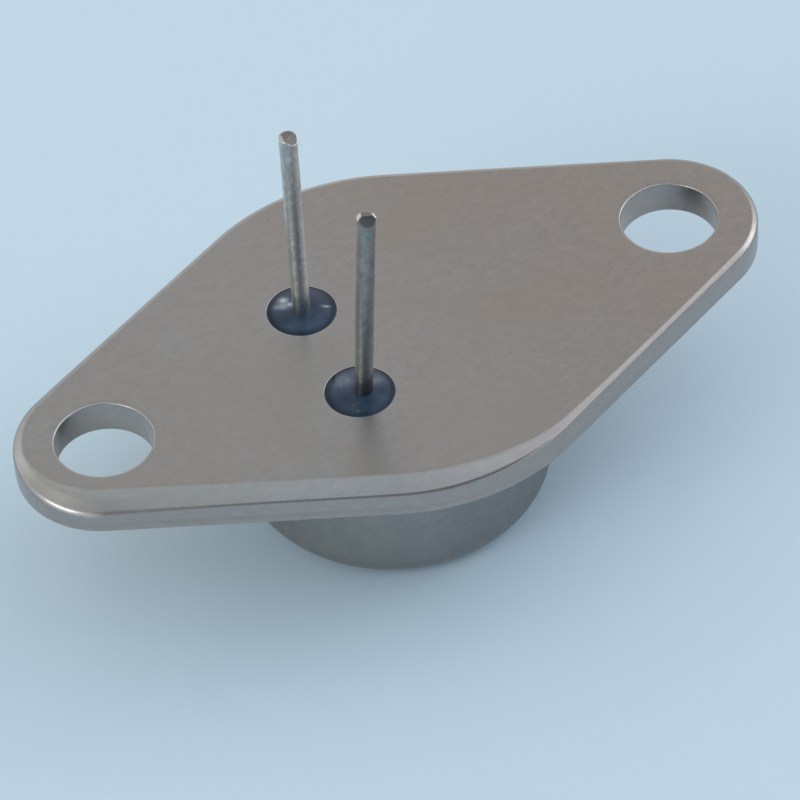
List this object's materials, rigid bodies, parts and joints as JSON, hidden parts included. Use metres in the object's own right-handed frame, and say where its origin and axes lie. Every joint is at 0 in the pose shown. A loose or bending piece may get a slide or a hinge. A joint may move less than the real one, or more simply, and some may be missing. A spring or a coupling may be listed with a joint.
{
  "type": "thyristor",
  "caption": "Thyristor in a small metal can: an oval header with a mounting hole at each end, a welded round cap below it and pins that stand in dark glass seals.",
  "frame": {"origin": "on the plane of the cap's flat end, straight below the midpoint between the mounting holes", "axes": "+X from the hole nearer the pins to the hole further from them, +Z from the cap to the pins, square to the header"},
  "size_m": [0.0314, 0.0172, 0.0171],
  "materials": {
    "header_nickel": "satin nickel plating on stamped steel",
    "cap_nickel": "satin nickel plating on drawn steel",
    "pin_nickel": "dull nickel plating on nickel-iron wire",
    "seal_glass": "glossy dark blue sealing glass",
    "copper": "bare copper",
    "braze": "silver braze",
    "molybdenum": "ground molybdenum",
    "solder": "soft solder",
    "silicon": "lapped silicon",
    "coating": "soft silicone varnish",
    "strap_nickel": "nickel strip"
  },
  "bodies": {
    "root": {"header": "header_nickel", "cap": "cap_nickel", "gate_pin": "pin_nickel", "cathode_pin": "pin_nickel", "gate_glass_seal": "seal_glass", "cathode_glass_seal": "seal_glass", "heat_spreader": "copper", "spreader_braze": "braze", "molybdenum_disc": "molybdenum", "disc_solder": "solder", "silicon_chip": "silicon", "chip_solder": "solder", "junction_coating": "coating", "cathode_plate": "molybdenum", "plate_solder": "solder", "cathode_strap": "strap_nickel", "strap_solder": "solder", "cathode_pin_joint": "solder", "gate_pad": "solder", "gate_strap": "strap_nickel", "gate_pin_joint": "solder"}
  },
  "joints": []
}
